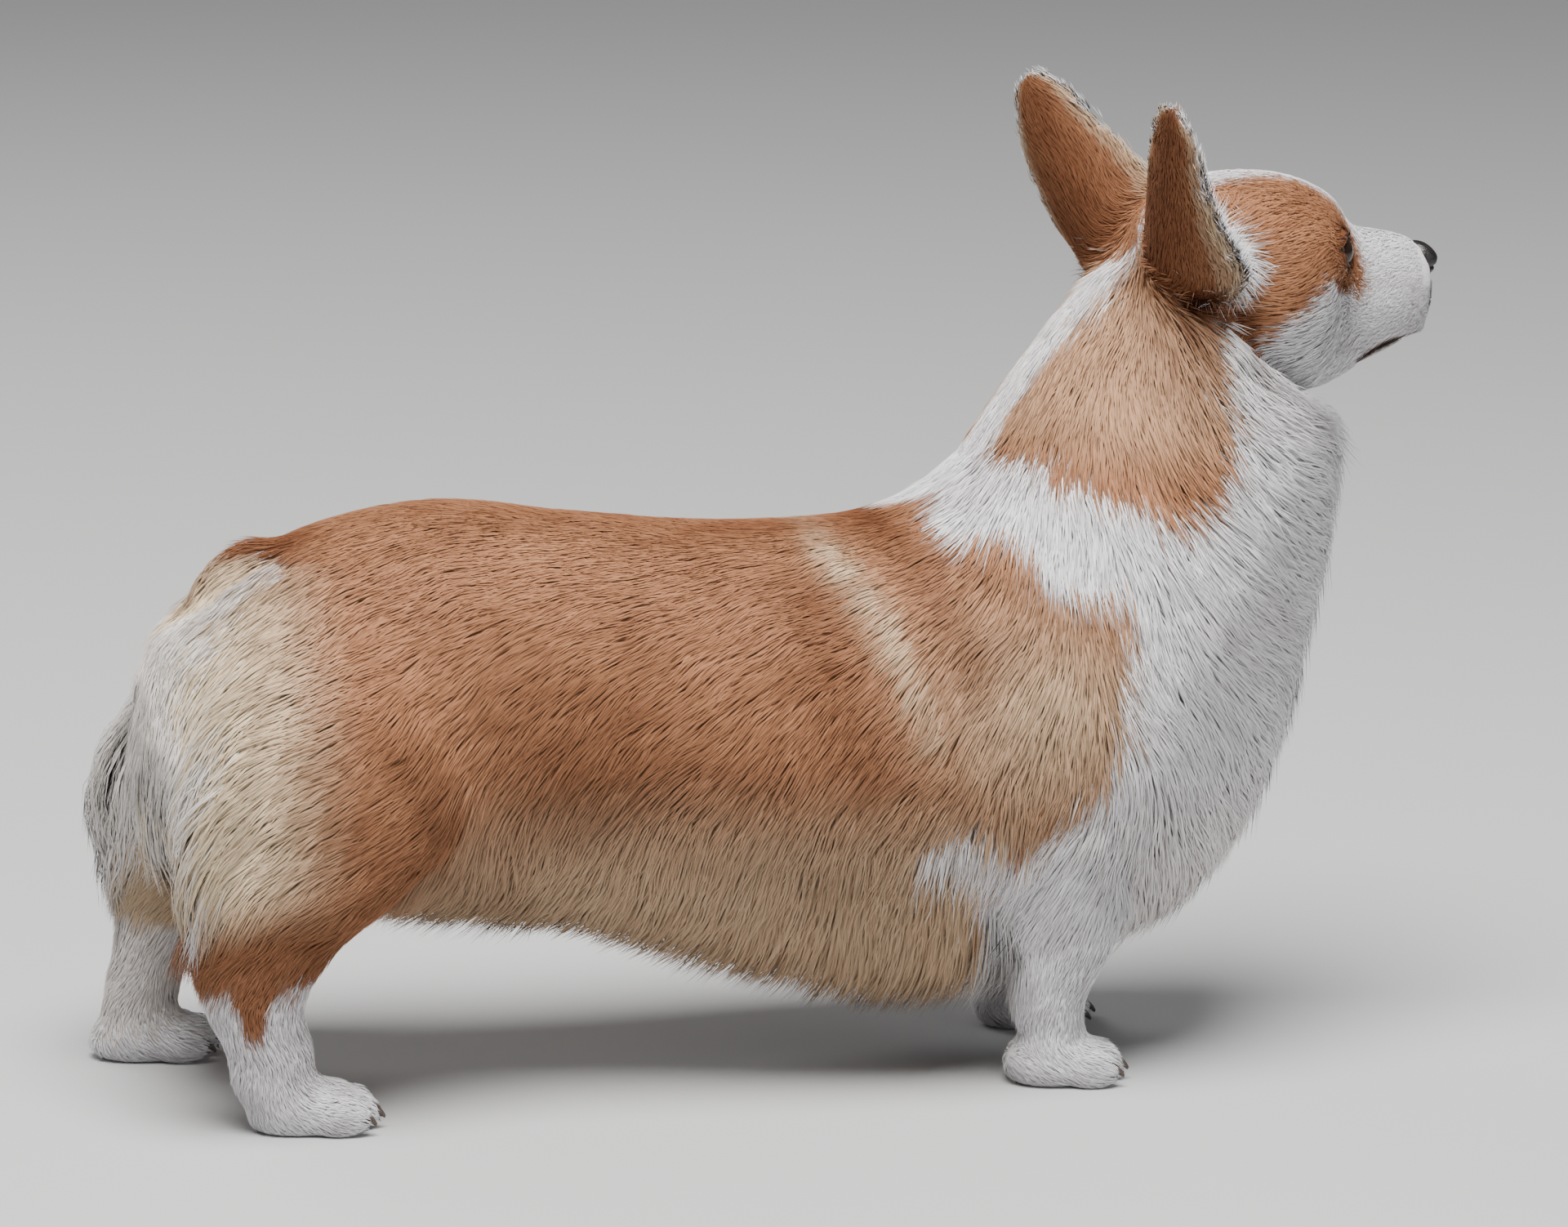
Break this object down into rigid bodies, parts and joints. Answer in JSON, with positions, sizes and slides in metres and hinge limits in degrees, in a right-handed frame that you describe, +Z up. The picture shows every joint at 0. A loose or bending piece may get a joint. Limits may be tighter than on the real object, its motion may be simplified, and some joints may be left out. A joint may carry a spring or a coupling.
{
  "type": "pembroke welsh corgi",
  "caption": "Life-size still model of a standing Pembroke Welsh corgi with upright ears, a docked tail and a feathered coat, resting on its paws.",
  "frame": {"origin": "on the floor under the middle of the whole model's bounding box, level with the flat soles", "axes": "+X towards the head, +Y to the dog's left, +Z up"},
  "size_m": [0.6884, 0.2132, 0.487],
  "materials": {
    "red_coat": "soft medium-length red and tan coat",
    "white_coat": "soft medium-length white coat",
    "nose": "moist black nose leather",
    "eye": "wet dark brown eye",
    "claw": "dark horn"
  },
  "bodies": {
    "root": {"head": "red_coat", "neck": "white_coat", "torso": "red_coat", "tail": "red_coat", "nose": "nose", "claw_fore_left_1": "claw", "claw_fore_left_2": "claw", "claw_fore_left_3": "claw", "claw_fore_left_4": "claw", "claw_fore_right_1": "claw", "claw_fore_right_2": "claw", "claw_fore_right_3": "claw", "claw_fore_right_4": "claw", "claw_hind_left_1": "claw", "claw_hind_left_2": "claw", "claw_hind_left_3": "claw", "claw_hind_left_4": "claw", "claw_hind_right_1": "claw", "claw_hind_right_2": "claw", "claw_hind_right_3": "claw", "claw_hind_right_4": "claw", "ear_left": "red_coat", "ear_right": "red_coat", "eye_left": "eye", "eye_right": "eye", "foreleg_left": "white_coat", "foreleg_right": "white_coat", "forepaw_left": "white_coat", "forepaw_right": "white_coat", "hindpaw_left": "white_coat", "hindpaw_right": "white_coat", "hock_left": "white_coat", "hock_right": "white_coat", "thigh_left": "red_coat", "thigh_right": "red_coat"}
  },
  "joints": []
}
